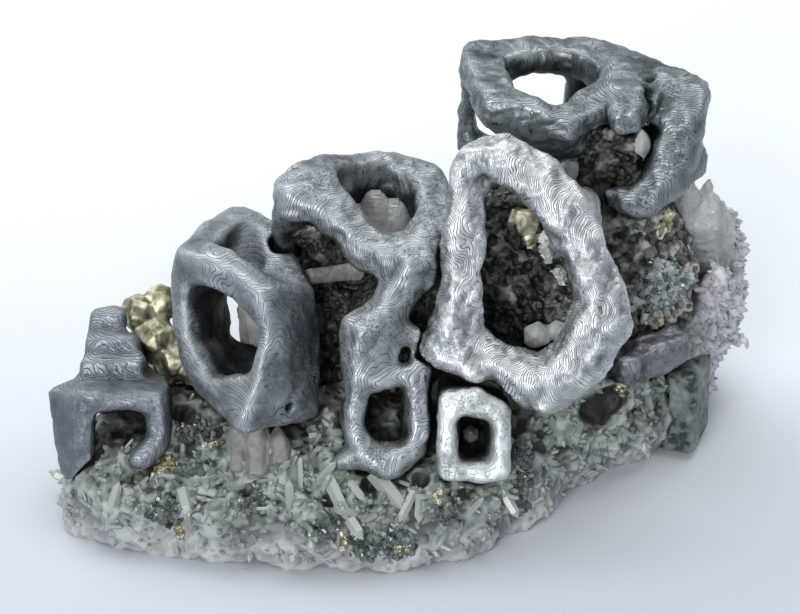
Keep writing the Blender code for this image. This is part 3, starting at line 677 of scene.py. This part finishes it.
# sphalerite with dull cleavage faces: an even grey-green, with hollows painted darker as shade
block_finish = broken(
    "sphalerite",
    crest="#727c79",
    middle="#525c59",
    hollow="#242a29",
    fleck="#616b68",
    grain=0.4,
    roughness=0.5,
    bump_height=0.05,
)
dress(block, block_finish, "sphalerite", "sphalerite_block")

# %% [markdown]
# Quartz is clear where it is clean and milky where it is full of tiny bubbles. Light passes through it, so
# the shader lets part of the light through and bends it by quartz's own index. Its tone changes from crystal
# to crystal, and it is kept on the mesh as a number for each of them.

# %% Quartz finish
QUARTZ_INDEX = 1.544


def quartz(name, pale, dark, through, roughness, patch, edge=False):
    """Quartz between two tones, as clear as through says, with clouds of so many mm."""
    material, shader, place = new_material(
        name, Roughness=roughness, IOR=QUARTZ_INDEX, Transmission_Weight=through
    )
    tone = add_node(material, "Attribute", attribute_name="tone")
    cloud = add_node(material, "TexNoise", {"Vector": place, "Scale": 1 / (patch * MM), "Detail": 3.0})
    mixed = add_node(
        material, "Math", {0: cloud.outputs[0], 1: tone.outputs["Fac"]}, operation="ADD"
    )
    shade = add_node(material, "MapRange", {0: mixed.outputs[0], 1: 0.3, 2: 1.3})
    colour = add_node(
        material, "Mix", {0: shade.outputs[0], 6: linear(dark), 7: linear(pale)}, data_type="RGBA"
    ).outputs[2]
    if edge:
        colour = painted_edge_glow(material, place, colour)
    bump = add_node(material, "Bump", {"Height": cloud.outputs[0], "Strength": 0.3, "Distance": 0.1 * MM})
    connect(material, shader, Base_Color=colour, Normal=bump.outputs[0])
    return material


# %% [markdown]
# Eight crystals of smoky quartz stand inside and behind the galena. Each keeps the shape that it has in the
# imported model, cut finer, rounded and chipped by noise, and its faces stay flat so that they glint.

# %% Quartz points
POINT_FACE = 0.2  # mm
LARGE_CHIP, SMALL_CHIP = 1.8, 0.5  # mm across
QUARTZ_POINTS = {
    # tone, rounds of smoothing, how far it is pushed out and height of its chips in mm
    "quartz_under_top": (0.65, 2, 0.0, 0.3),
    "quartz_chunk_ring": (1.5, 1, 0.0, 0.3),
    "quartz_chunk_top": (0.5, 3, 0.0, 0.3),
    "quartz_in_small_box": (0.0, 0, 0.0, 0.1),
    "quartz_point_middle": (0.3, 40, 1.0, 0.3),
    "quartz_point_left": (0.35, 2, 0.0, 0.2),
    "quartz_blade": (0.05, 3, 0.0, 0.3),
    "quartz_big_right": (0.35, 1, 0.0, 1.1),
}
# smoky quartz, frosted by growth marks: grey-brown glass that is only half see-through
point_finish = quartz("smoky_quartz", "#e3e7e6", "#74726f", through=0.4, roughness=0.35, patch=2.2)
for node, (tone, rounds, push, chips) in QUARTZ_POINTS.items():
    obj = even_faces(copy_of(node, node + "_faces"), POINT_FACE, rounds, push)
    roughen(obj, ("CLOUDS", LARGE_CHIP, chips), ("CLOUDS", SMALL_CHIP, 0.3 * chips))
    dress(obj, point_finish, "smoky_quartz", node)
    write_on(obj.data, "tone", np.full(len(obj.data.vertices), tone))
    obj.data.shade_flat()

# %% [markdown]
# Chalcopyrite is brassy where it is fresh and turns olive and brown where it is tarnished. It grows as a
# lump of blunt crystals, so the copy is cut finer and pushed in and out by cells as large as the crystals.

# %% Chalcopyrite
TARNISH = 1.3 * MM  # patches of tarnish
BRASS_FACE = 0.13  # mm


def tarnished_brass(name):
    """Chalcopyrite, tarnished in air: a satin metal in patches of pale brass and dull olive."""
    material, shader, place = new_material(name, Roughness=0.55, Metallic=1.0)
    tarnish = add_node(material, "TexNoise", {"Vector": place, "Scale": 1 / TARNISH, "Detail": 5.0})
    amount = add_node(material, "MapRange", {0: tarnish.outputs[0], 1: 0.4, 2: 0.62})
    colour = add_node(
        material, "Mix", {0: amount.outputs[0], 6: linear("#d2cfb4"), 7: linear("#6a6a56")}, data_type="RGBA"
    )
    bump = add_node(material, "Bump", {"Height": tarnish.outputs[0], "Strength": 0.8, "Distance": 0.2 * MM})
    connect(material, shader, Base_Color=colour.outputs[2], Normal=bump.outputs[0])
    return material


brass_finish = tarnished_brass("tarnished_chalcopyrite")
for node in ("chalcopyrite_left", "chalcopyrite_in_ring"):
    lump = even_faces(copy_of(node, node + "_surface"), BRASS_FACE, rounds=6)
    roughen(lump, ("VORONOI", 2.4, 0.7), ("CLOUDS", 0.5, 0.08))
    dress(lump, brass_finish, "chalcopyrite", node)

# %% [markdown]
# The druse is a crust of small quartz crystals, each a six-sided prism with a pointed end. One crystal is
# made in a few proportions, and copies of it are put on the rock, each leaning its own way. A copy stays off
# where it would run into a galena crystal or leave the specimen's box.
#
# Every copy has a few flat faces only, since there are thousands of them. The random numbers that place them
# start from a seed, so the specimen comes out the same each time.

# %% Crystals to scatter
TIP = 1.3  # height of a crystal's pointed end, in its radii
TAPER = 0.9  # how wide its shaft still is where the tip starts
BLUNT = 0.2  # how much is taken off a grain's edges, as a share of its width
CLEARANCE = 0.55  # free space round a crystal's middle, as a share of its whole length
RAGGED = 0.5  # how much a cluster's edge wanders, as a share of its radius


def crystal_mesh(slender):
    """A quartz crystal one unit long, standing on the origin."""
    bm = bmesh.new()
    tip = TIP * slender
    shaft = 1 - tip
    bmesh.ops.create_cone(
        bm,
        cap_ends=True,
        segments=6,
        radius1=slender,
        radius2=slender * TAPER,
        depth=shaft,
        matrix=Matrix.Translation((0, 0, shaft / 2)),
    )
    bmesh.ops.poke(bm, faces=[max(bm.faces, key=lambda f: f.calc_center_median().z)], offset=tip)
    mesh = bpy.data.meshes.new("crystal")
    bm.to_mesh(mesh)
    bm.free()
    return mesh


def grain_mesh():
    """A blunt crystal one unit across."""
    bm = bmesh.new()
    bmesh.ops.create_cube(bm, size=1.0)
    bmesh.ops.bevel(
        bm,
        geom=bm.verts[:] + bm.edges[:],
        offset=BLUNT,
        offset_type="OFFSET",
        affect="EDGES",
        segments=1,
        profile=0.5,
        material=-1,
    )
    mesh = bpy.data.meshes.new("grain")
    bm.to_mesh(mesh)
    bm.free()
    return mesh


guests = [
    tree_of(obj)
    for obj in bpy.data.objects
    if obj.name.endswith("_surface") and obj.name.startswith(("galena", "chalco", "block"))
]
# tips stay a tenth of a millimetre or more inside the specimen's box
inner_low = Vector(cad_box[0]) + Vector((0.1, 0.1, 0.2)) * MM
inner_high = Vector(cad_box[1]) - Vector((0.1, 0.1, 0.1)) * MM


def gather(name, pieces):
    """One piece from copies of shapes. Each comes with its shape, its place and its tone."""
    bm = bmesh.new()
    tones = []
    for shape, place, tone in pieces:
        copy = shape.copy()
        copy.transform(place)
        bm.from_mesh(copy)
        bpy.data.meshes.remove(copy)
        tones += [tone] * len(shape.vertices)
    mesh = bpy.data.meshes.new(name)
    bm.to_mesh(mesh)
    bm.free()
    write_on(mesh, "tone", np.array(tones))
    obj = bpy.data.objects.new(name, mesh)
    bpy.context.scene.collection.objects.link(obj)
    return obj


def standing(root, way, length, spin, sunk):
    """The matrix that stands a shape at its root, sunk in by a part of its length."""
    turn = way.to_track_quat("Z", "Y").to_matrix().to_4x4() @ Matrix.Rotation(spin, 4, "Z")
    return Matrix.Translation(root - way * length * sunk) @ turn @ Matrix.Scale(length * (1 + sunk), 4)


def scatter(
    name, ground, shapes, count, lengths, lean, allowed, seed, sunk=0.3, least_open=0.35, tones=(0, 1)
):
    """Puts copies of the shapes, with lengths in mm, on the open parts of the ground piece."""
    rng = random.Random(seed)
    open_part = np.empty(len(ground.data.vertices))
    ground.data.attributes["open"].data.foreach_get("value", open_part)
    faces = [
        f
        for f in ground.data.polygons
        if open_part[f.vertices[0]] > least_open and allowed(f.center / MM, f.normal)
    ]
    pieces = []
    for face in rng.choices(faces, [f.area for f in faces], k=count):
        length = (lengths[0] + (lengths[1] - lengths[0]) * rng.random() ** 2) * MM
        way = (face.normal + Vector([rng.uniform(-1, 1) for _ in range(3)]) * lean).normalized()
        tip = face.center + way * length
        place = standing(face.center, way, length, rng.uniform(0, pi), sunk)
        piece = (rng.choice(shapes), place, rng.uniform(*tones))
        inside = all(inner_low[i] < tip[i] < inner_high[i] for i in range(3))
        middle = face.center + way * length * (1 - sunk) / 2
        clear = CLEARANCE * length * (1 + sunk)
        if inside and all(tree.find_nearest(middle)[3] > clear for tree in guests):
            pieces.append(piece)
    return gather(name, pieces)


def near(clusters, tree):
    """A test of whether a place in mm lies in one of the clusters, each a pixel and a radius."""
    places = [(seen_at(pixel, tree)[0] / MM, radius) for pixel, radius, *_ in clusters.values()]
    return lambda at, way: any(
        (at - place).length < radius * (1 + RAGGED * noise.noise(at)) for place, radius in places
    )


# %% [markdown]
# The druse covers the rock with three sizes of crystal: a close coat of stubby ones, slender needles among
# them, and a fringe on the far wall at the right. The hollows stay bare, and so do the places where the
# photograph shows dark or brassy grains.

# %% Druse
DARK_CLUSTERS = {
    # pixel of the photograph, radius in mm
    "by_corner_frame": ((190, 428), 1.6),
    "under_corner_frame": ((192, 468), 1.2),
    "left": ((165, 513), 1.7),
    "under_left_frame": ((253, 501), 1.5),
    "front": ((323, 530), 1.5),
    "front_right": ((366, 542), 1.9),
    "front_glints": ((398, 542), 1.7),
    "under_small_box": ((447, 510), 1.4),
    "beside_small_box": ((524, 458), 1.2),
    "streak": ((526, 482), 1.5),
    "streak_foot": ((520, 510), 1.2),
}
BRASS_CLUSTERS = {
    # pixel of the photograph, radius in mm
    "flake": ((211, 446), 0.7),
    "by_corner_frame": ((165, 467), 1.2),
    "front": ((341, 540), 0.7),
    "front_glints": ((400, 549), 0.6),
    "under_small_box": ((440, 503), 0.9),
    "low_left": ((179, 531), 0.5),
    "over_cave": ((622, 392), 0.7),
}
rock_tree = tree_of(rock)
in_hollow = near(HOLLOWS, rock_tree)
is_dark = near(DARK_CLUSTERS, rock_tree)
is_brass = near(BRASS_CLUSTERS, rock_tree)


def bare(at, way):
    """Whether a place is left free of quartz."""
    return in_hollow(at, way) or is_dark(at, way) or is_brass(at, way)


stubby = [crystal_mesh(slender) for slender in (0.22, 0.28, 0.36)]
slim = [crystal_mesh(slender) for slender in (0.1, 0.13, 0.17)]
druse = scatter(
    "quartz_druse",
    rock,
    stubby,
    count=2100,
    lengths=(0.4, 1.1),
    lean=0.9,
    allowed=lambda at, way: way.z > -0.6 and at.z > 1.0 and not bare(at, way),
    seed=3,
    sunk=0.5,
    tones=(0.1, 0.8),
)
# druse quartz: small frosted crystals, grey-green from the rock that shows through them
# painted light: paler at the thin edge, as light shining through
druse_finish = quartz(
    "druse_quartz", "#a6aeaa", "#555d58", through=0.3, roughness=0.4, patch=3.0, edge=True
)
dress(druse, druse_finish, "quartz")
slender = scatter(
    "quartz_slender_points",
    rock,
    slim,
    count=330,
    lengths=(1.0, 2.6),
    lean=1.0,
    allowed=lambda at, way: way.z > -0.3 and at.z > 2.5 and not bare(at, way),
    seed=4,
)
dress(slender, druse_finish, "quartz")
fringe = scatter(
    "quartz_fringe",
    rock,
    stubby,
    count=600,
    lengths=(0.4, 1.0),
    lean=0.6,
    allowed=lambda at, way: at.x > 29.5 and at.z > 8,
    seed=8,
)
dress(fringe, druse_finish, "quartz")

# %% [markdown]
# The larger points of the druse are placed one by one. Each stands on the rock where the photograph shows its
# root, and leans towards where it shows its tip. Three stout columns under the left frame are placed the same
# way and then worn round, and a few white lumps sit on the crust inside the ring.

# %% Single points
SET_IN = 0.15  # how deep a point sits in the rock, as a share of its length
COLUMN_FACE = 0.15  # mm
COLUMN_TONE = 0.4
SINGLE_POINTS = {
    # root and tip in pixels of the photograph, how far the tip stands out and the radius in mm, and the tone
    "pale_blade": ((237, 473), (283, 499), 1.2, 0.75, 1.0),
    "upright_needle": ((301, 486), (301, 466), 1.0, 0.25, 0.9),
    "cream_cone": ((183, 493), (196, 520), 1.2, 0.7, 0.95),
    "short_right": ((203, 491), (231, 498), 1.0, 0.5, 0.8),
    "left_upright": ((113, 502), (121, 487), 1.0, 0.5, 0.7),
    "left_hanging": ((137, 490), (146, 514), 0.9, 0.5, 0.6),
    "left_outlier": ((66, 478), (48, 471), 0.0, 0.5, 0.8),
    "long_blade": ((330, 482), (347, 521), 1.2, 0.65, 0.85),
    "short_blade": ((352, 485), (368, 502), 1.0, 0.4, 0.8),
    "big_blade": ((379, 478), (402, 524), 1.4, 0.85, 0.95),
    "crossing_blade": ((412, 496), (402, 522), 1.2, 0.45, 0.85),
    "right_blade": ((421, 499), (426, 523), 1.0, 0.5, 0.7),
    "under_cell": ((318, 482), (330, 466), 1.0, 0.4, 0.6),
    "low_lump": ((352, 522), (358, 534), 1.0, 0.6, 0.9),
    "right_column": ((504, 494), (511, 516), 0.8, 0.5, 0.8),
}
COLUMNS = {
    # the same five values
    "column_left": ((238, 464), (241, 414), -0.4, 1.0, 0.5),
    "column_middle": ((257, 466), (258, 410), -0.4, 1.2, 0.15),
    "column_right": ((278, 460), (277, 424), -0.4, 1.2, -0.1),
}
up_in_photo = camera_turn @ Vector((0, 1, 0))
right_in_photo = camera_turn @ Vector((1, 0, 0))
photo_scale = CAMERA_AWAY / FOCAL


def single_points(table, tree):
    """The points of a table, each with its root on the faces of a tree."""
    pieces = []
    for root, tip, out, radius, tone in table.values():
        place, normal = seen_at(root, tree)
        across = right_in_photo * (tip[0] - root[0]) + up_in_photo * (root[1] - tip[1])
        reach = across * photo_scale + normal * out * MM
        way, length = reach.normalized(), reach.length
        shape = crystal_mesh(radius * MM / length)
        pieces.append((shape, standing(place, way, length, tone * pi, SET_IN), tone))
    return pieces


singles = gather("quartz_single_points", single_points(SINGLE_POINTS, rock_tree))
# clear quartz: cleaner than the druse round it, with smooth faces that catch the light
clear_finish = quartz("clear_quartz", "#bfc6c1", "#7f827d", through=0.45, roughness=0.25, patch=2.0)
dress(singles, clear_finish, "quartz")
columns = gather("quartz_columns", single_points(COLUMNS, rock_tree))
even_faces(columns, COLUMN_FACE, rounds=8, push=0.1)
roughen(columns, ("CLOUDS", 1.4, 0.6))
write_on(columns.data, "tone", np.full(len(columns.data.vertices), COLUMN_TONE))
# smoky quartz, worn dull: grey-brown and hardly see-through
worn_finish = quartz("brown_smoky_quartz", "#a0a19e", "#4c4b47", through=0.3, roughness=0.55, patch=1.6)
dress(columns, worn_finish, "smoky_quartz")
crust_tree = tree_of(crust)
WHITE_LUMPS = {
    # pixel of the photograph, radius in mm
    "lump": ((557, 276), 0.7),
    "upper": ((543, 238), 0.5),
    "middle": ((546, 247), 0.6),
    "lower": ((548, 256), 0.4),
}
white = scatter(
    "quartz_white_lumps",
    crust,
    stubby,
    count=70,
    lengths=(0.6, 1.2),
    lean=1.2,
    allowed=near(WHITE_LUMPS, crust_tree),
    seed=13,
    sunk=0.6,
    least_open=0.0,
)
# milky quartz, full of tiny bubbles: white, with glossy faces
milky_finish = quartz("milky_quartz", "#f2f5f4", "#9fa8a6", through=0.3, roughness=0.15, patch=1.0)
dress(white, milky_finish, "quartz")
for obj in (druse, slender, fringe, singles, white):
    obj.data.shade_flat()

# %% [markdown]
# Dark sphalerite and brassy chalcopyrite grow in clusters of tiny grains between the quartz crystals. Their
# flat faces catch the light, so the grains glint. Crumbs of the same kind lie on the crust, and splinters of
# pale quartz cover one part of it. Sphalerite takes the quartz finish with no light let through.

# %% Grains
grains = [grain_mesh()]
GRAIN_SIZES = 0.2, 0.6  # mm
# sphalerite grains: nearly black glassy faces
dark_finish = quartz("sphalerite_grains", "#5d6663", "#0f1211", through=0.0, roughness=0.15, patch=1.0)
dark = scatter(
    "sphalerite_grains", rock, grains, count=1500, lengths=GRAIN_SIZES, lean=1.0, allowed=is_dark, seed=5
)
dress(dark, dark_finish, "sphalerite")
flecks = scatter(
    "brass_flecks",
    rock,
    grains,
    count=260,
    lengths=GRAIN_SIZES,
    lean=1.0,
    allowed=is_brass,
    seed=7,
    least_open=0.0,
)
dress(flecks, brass_finish, "chalcopyrite")
STREAKS = {
    # pixel of the photograph, radius in mm
    "by_notch": ((650, 172), 0.5),
    "streak_top": ((672, 213), 0.6),
    "streak_middle": ((668, 222), 0.7),
    "streak_low": ((662, 233), 0.7),
    "low": ((655, 322), 0.6),
}
streaks = scatter(
    "brass_streaks",
    crust,
    grains,
    count=260,
    lengths=GRAIN_SIZES,
    lean=1.0,
    allowed=near(STREAKS, crust_tree),
    seed=11,
    least_open=0.0,
)
dress(streaks, brass_finish, "chalcopyrite")
crumbs = scatter(
    "crust_grains",
    crust,
    grains,
    count=900,
    lengths=(0.2, 0.7),
    lean=1.0,
    allowed=lambda at, way: True,
    seed=9,
    sunk=0.5,
    least_open=0.55,
)
# sphalerite crumbs: browner and a little duller than the grains on the rock
crumb_finish = quartz("crust_grains", "#5b5e59", "#101211", through=0.0, roughness=0.2, patch=1.0)
dress(crumbs, crumb_finish, "sphalerite")
SHARDS = {"upper": ((668, 275), 2.4), "lower": ((655, 300), 2.2), "right": ((676, 289), 2.0)}
shards = scatter(
    "crust_shards",
    crust,
    stubby,
    count=380,
    lengths=(0.4, 1.2),
    lean=1.6,
    allowed=near(SHARDS, crust_tree),
    seed=12,
    least_open=0.0,
)
# splinters of quartz: glassy fresh breaks, painted pale or dark at random as painted glints and shade
shard_finish = quartz("shard_quartz", "#bcc4c1", "#39423f", through=0.3, roughness=0.12, patch=1.0)
dress(shards, shard_finish, "quartz")
for obj in (dark, flecks, streaks, crumbs, shards):
    obj.data.shade_flat()

# %% [markdown]
# The stage is a pale sweep: a floor that curves up behind the specimen, so that no horizon shows. A short
# line is drawn out into the floor, and its far edge is spun a quarter turn into the back wall. The paper is
# painted a little darker towards the front, as painted shade where less light falls in the photograph.

# %% Stage
SIDE, FRONT, BACK = 0.8, -0.6, 0.8  # metres from the specimen to the floor's edges
CURVE = 0.4  # radius of the sweep, in metres
# painted light: the paper's colour is lighter towards the back and darker towards the front
LIGHTER_WAY = (0.05, 1.0, 0.0)  # the paper gets lighter this way,
SHADED_PAPER, LIT_PAPER = -40 * MM, 75 * MM  # from the first of these places to the second
bm = bmesh.new()
start = bm.edges.new([bm.verts.new((-SIDE, FRONT, 0)), bm.verts.new((SIDE, FRONT, 0))])
drawn = bmesh.ops.extrude_edge_only(bm, edges=[start])["geom"]
moved = [part for part in drawn if isinstance(part, bmesh.types.BMVert)]
bmesh.ops.translate(bm, verts=moved, vec=(0, BACK - FRONT, 0))
far_edge = [part for part in drawn if isinstance(part, bmesh.types.BMEdge)]
bmesh.ops.spin(bm, geom=far_edge, cent=(0, BACK, CURVE), axis=(1, 0, 0), angle=pi / 2, steps=16)
mesh = bpy.data.meshes.new("sweep")
bm.to_mesh(mesh)
bm.free()
sweep = bpy.data.objects.new("sweep", mesh)
sweep.location.z = -0.05 * MM  # just under the specimen, so that the two never share a plane
bpy.context.scene.collection.objects.link(sweep)
# uncoated paper: matt, with soft shadows and no reflections
paper, shader, place = new_material("paper", Roughness=0.9)
across = add_node(paper, "VectorMath", {0: place, 1: LIGHTER_WAY}, operation="DOT_PRODUCT")
shade = add_node(paper, "MapRange", {0: across.outputs["Value"], 1: SHADED_PAPER, 2: LIT_PAPER})
tint = add_node(
    paper, "Mix", {0: shade.outputs[0], 6: linear("#b3b7c0"), 7: linear("#dfe3e7")}, data_type="RGBA"
)
connect(paper, shader, Base_Color=tint.outputs[2])
mesh.materials.append(paper)
print("sweep", len(mesh.polygons), "faces")

# %% [markdown]
# The light comes from a large softbox above and behind on the left, and a second one overhead softens its
# shadows. A smaller one in front is what the ring and the small box mirror.

# %% Lights
LIGHTS = {
    # place and aim in metres, side in metres, watts
    "key": ((-0.45, 0.42, 0.62), (0, 0.02, 0), 0.8, 4.7),
    "top": ((0.2, 0.1, 1.0), (0, 0, 0), 0.9, 6.4),
    "front": ((-0.2, -0.62, 0.24), (0, 0, 0.02), 0.3, 3.4),
}
ROOM_COLOUR, ROOM_STRENGTH = "#e8edf4", 0.5  # the light that a white room throws back


def softbox(name, place, aim, size, watts):
    """A square light that shines from a place at an aim."""
    light = bpy.data.objects.new(name, bpy.data.lights.new(name, "AREA"))
    light.data.size = size
    light.data.energy = watts
    light.location = place
    light.rotation_euler = (Vector(aim) - Vector(place)).to_track_quat("-Z", "Y").to_euler()
    bpy.context.scene.collection.objects.link(light)
    print(name, "light,", watts, "W")


for name, row in LIGHTS.items():
    softbox(name, *row)
world = bpy.data.worlds.new("studio")
world.use_nodes = True
background = world.node_tree.nodes["Background"]
background.inputs["Color"].default_value = linear(ROOM_COLOUR)
background.inputs["Strength"].default_value = ROOM_STRENGTH
bpy.context.scene.world = world
bpy.context.scene.view_settings.view_transform = "Standard"
